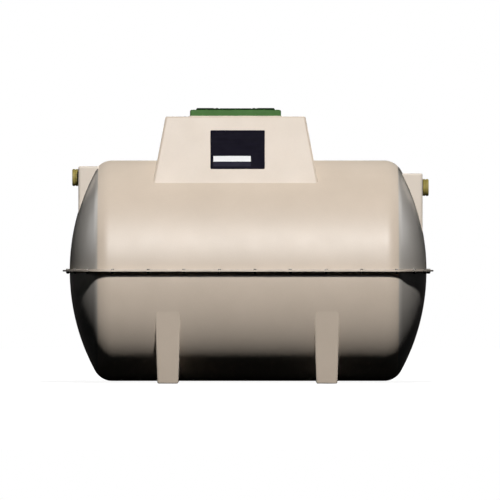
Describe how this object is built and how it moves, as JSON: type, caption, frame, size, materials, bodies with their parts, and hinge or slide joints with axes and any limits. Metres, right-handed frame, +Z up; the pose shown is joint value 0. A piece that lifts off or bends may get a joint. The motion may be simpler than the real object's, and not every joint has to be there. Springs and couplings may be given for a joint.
{
  "type": "packaged sewage treatment plant",
  "caption": "Horizontal glass-fibre sewage treatment tank in bolted halves with dished ends, cradle feet, a tapered access turret under a green cover, and end boxes with drain sockets.",
  "frame": {"origin": "on the ground under the middle of the tank, at the bottom centre of the bounding box", "axes": "+X along the tank from the inlet to the outlet, +Y to the back, +Z up"},
  "size_m": [2.681, 1.694, 1.9865],
  "materials": {
    "gelcoat": "semi-gloss beige gelcoat on glass-fibre laminate",
    "frame_green": "moulded mid-green polypropylene",
    "cover_green": "moulded dark green polypropylene",
    "pipe_ochre": "olive-ochre drain plastic",
    "seal_rubber": "black rubber",
    "joint_sealant": "beige elastic sealing strip"
  },
  "bodies": {
    "root": {"upper_barrel": "gelcoat", "lower_barrel": "gelcoat", "inlet_end_upper": "gelcoat", "inlet_end_lower": "gelcoat", "outlet_end_upper": "gelcoat", "outlet_end_lower": "gelcoat", "upper_flange": "gelcoat", "lower_flange": "gelcoat", "flange_seal": "joint_sealant", "inlet_cradle_foot": "gelcoat", "outlet_cradle_foot": "gelcoat", "turret_neck": "gelcoat", "turret_deck": "gelcoat", "cover_frame": "frame_green", "access_cover": "cover_green", "inlet_box": "gelcoat", "inlet_socket_pipe": "pipe_ochre", "inlet_seal_ring": "seal_rubber", "inlet_wall_collar": "pipe_ochre", "outlet_box": "gelcoat", "outlet_socket_pipe": "pipe_ochre", "outlet_seal_ring": "seal_rubber", "outlet_wall_collar": "pipe_ochre"}
  },
  "joints": []
}
